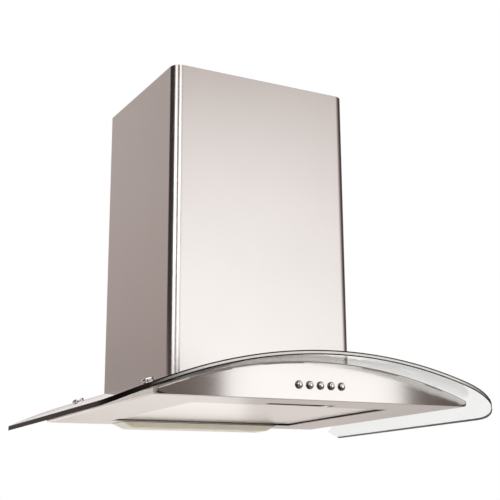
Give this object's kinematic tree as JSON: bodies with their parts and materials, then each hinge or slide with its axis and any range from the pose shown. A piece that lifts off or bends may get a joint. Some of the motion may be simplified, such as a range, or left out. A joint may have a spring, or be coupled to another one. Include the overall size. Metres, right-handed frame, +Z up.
{
  "type": "chimney range hood",
  "caption": "Wall-mounted extractor hood: arched clear glass canopy over a shallow steel body with filter, lamp and push buttons, under a telescopic chimney with blower.",
  "frame": {"origin": "middle of the wall bracket's back face, on the wall plane", "axes": "+X to the hood's right seen from the front, +Y into the wall, +Z up; the hood faces -Y and its flat underside is 250 mm below the origin"},
  "size_m": [0.6, 0.484, 0.5332],
  "materials": {
    "brushed_steel": "brushed stainless steel with a warm tint",
    "polished_chrome": "polished chrome plating",
    "galvanised_steel": "galvanised sheet steel",
    "aluminium_mesh": "anodised aluminium mesh and frame",
    "clear_glass": "clear toughened glass with polished edges",
    "frosted_cover": "translucent ivory lamp cover",
    "bulb_glass": "frosted bulb glass",
    "black_plastic": "black moulded plastic",
    "grey_plastic": "grey moulded plastic",
    "white_plastic": "white moulded plastic",
    "rubber_seal": "black rubber"
  },
  "bodies": {
    "hood": {"body_shell": "brushed_steel", "front_fascia": "brushed_steel", "glass_canopy": "clear_glass", "glass_cap_front_left": "polished_chrome", "glass_cap_front_right": "polished_chrome", "glass_cap_rear_left": "polished_chrome", "glass_cap_rear_right": "polished_chrome", "seal_washer_front_left": "rubber_seal", "seal_washer_front_right": "rubber_seal", "seal_washer_rear_left": "rubber_seal", "seal_washer_rear_right": "rubber_seal", "chimney_lower": "brushed_steel", "wall_bracket": "galvanised_steel", "blower_box": "galvanised_steel", "box_screw_front_left": "galvanised_steel", "box_screw_front_right": "galvanised_steel", "box_screw_rear_left": "galvanised_steel", "box_screw_rear_right": "galvanised_steel", "volute_left": "grey_plastic", "volute_right": "grey_plastic", "fan_motor": "grey_plastic", "motor_spider": "galvanised_steel", "outlet_collar": "white_plastic", "damper_pin": "brushed_steel", "capacitor": "white_plastic", "capacitor_strap": "galvanised_steel", "terminal_box": "black_plastic", "terminal_lid": "black_plastic", "cable_gland": "grey_plastic", "lamp_housing": "galvanised_steel", "lamp_cover": "frosted_cover", "lamp_socket_left": "white_plastic", "lamp_socket_right": "white_plastic", "bulb_left": "bulb_glass", "bulb_right": "bulb_glass", "switch_block": "black_plastic", "button_bezel_1": "polished_chrome", "button_bezel_2": "polished_chrome", "button_bezel_3": "polished_chrome", "button_bezel_4": "polished_chrome", "button_bezel_5": "polished_chrome"},
    "telescopic_cover": {"chimney_upper": "brushed_steel", "chimney_bracket": "galvanised_steel"},
    "fan": {"fan_wheel": "black_plastic", "motor_shaft": "brushed_steel"},
    "flap_front": {"damper_front": "white_plastic"},
    "flap_rear": {"damper_rear": "white_plastic"},
    "filter": {"filter_frame": "aluminium_mesh", "filter_mesh": "aluminium_mesh"},
    "latch": {"filter_latch": "black_plastic"},
    "button_1": {"push_button_1": "polished_chrome"},
    "button_2": {"push_button_2": "polished_chrome"},
    "button_3": {"push_button_3": "polished_chrome"},
    "button_4": {"push_button_4": "polished_chrome"},
    "button_5": {"push_button_5": "polished_chrome"}
  },
  "joints": [
    {"name": "chimney_extend", "type": "slide", "parent": "hood", "child": "telescopic_cover", "axis": [0, 0, 1], "range_m": [0, 0.33]},
    {"name": "fan_spin", "type": "hinge", "parent": "hood", "child": "fan", "pos_m": [0, -0.126, -0.1], "axis": [1, 0, 0], "continuous": true},
    {"name": "damper_front_lift", "type": "hinge", "parent": "hood", "child": "flap_front", "pos_m": [0, -0.07995, 0.0623], "axis": [-1, 0, 0], "range_deg": [0, 70]},
    {"name": "damper_rear_lift", "type": "hinge", "parent": "hood", "child": "flap_rear", "pos_m": [0, -0.07995, 0.0623], "axis": [1, 0, 0], "range_deg": [0, 70]},
    {"name": "filter_drop", "type": "hinge", "parent": "hood", "child": "filter", "pos_m": [0, -0.0655, -0.2455], "axis": [1, 0, 0], "range_deg": [0, 75]},
    {"name": "latch_slide", "type": "slide", "parent": "filter", "child": "latch", "axis": [0, 1, 0], "range_m": [0, 0.005], "stiffness_N_per_m": 250, "springref_m": -0.002},
    {"name": "button_press_1", "type": "slide", "parent": "hood", "child": "button_1", "axis": [0, 1, 0], "range_m": [0, 0.0025], "stiffness_N_per_m": 500, "springref_m": -0.001},
    {"name": "button_press_2", "type": "slide", "parent": "hood", "child": "button_2", "axis": [0, 1, 0], "range_m": [0, 0.0025], "stiffness_N_per_m": 500, "springref_m": -0.001},
    {"name": "button_press_3", "type": "slide", "parent": "hood", "child": "button_3", "axis": [0, 1, 0], "range_m": [0, 0.0025], "stiffness_N_per_m": 500, "springref_m": -0.001},
    {"name": "button_press_4", "type": "slide", "parent": "hood", "child": "button_4", "axis": [0, 1, 0], "range_m": [0, 0.0025], "stiffness_N_per_m": 500, "springref_m": -0.001},
    {"name": "button_press_5", "type": "slide", "parent": "hood", "child": "button_5", "axis": [0, 1, 0], "range_m": [0, 0.0025], "stiffness_N_per_m": 500, "springref_m": -0.001}
  ]
}
